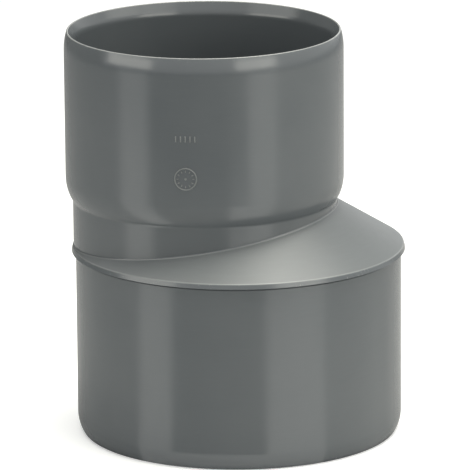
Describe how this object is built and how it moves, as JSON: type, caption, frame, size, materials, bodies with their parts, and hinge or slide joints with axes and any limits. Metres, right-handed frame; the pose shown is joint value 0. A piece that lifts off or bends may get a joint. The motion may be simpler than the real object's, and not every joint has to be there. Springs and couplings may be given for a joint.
{
  "type": "eccentric pipe reducer",
  "caption": "Eccentric pipe reducer: a wide spigot with a stop flange, a cone that leans to one side, and an off-centre socket for the smaller pipe.",
  "frame": {"origin": "centre of the spigot's end face", "axes": "+Z along the spigot's axis, from its end towards the socket; the socket's axis is parallel to it and set over towards -X"},
  "size_m": [0.1304, 0.1282, 0.1563],
  "materials": {
    "grey_moulding": "cool mid-grey moulded pipe plastic with a smooth, softly shining skin"
  },
  "bodies": {
    "root": {"reducer_body": "grey_moulding"}
  },
  "joints": []
}
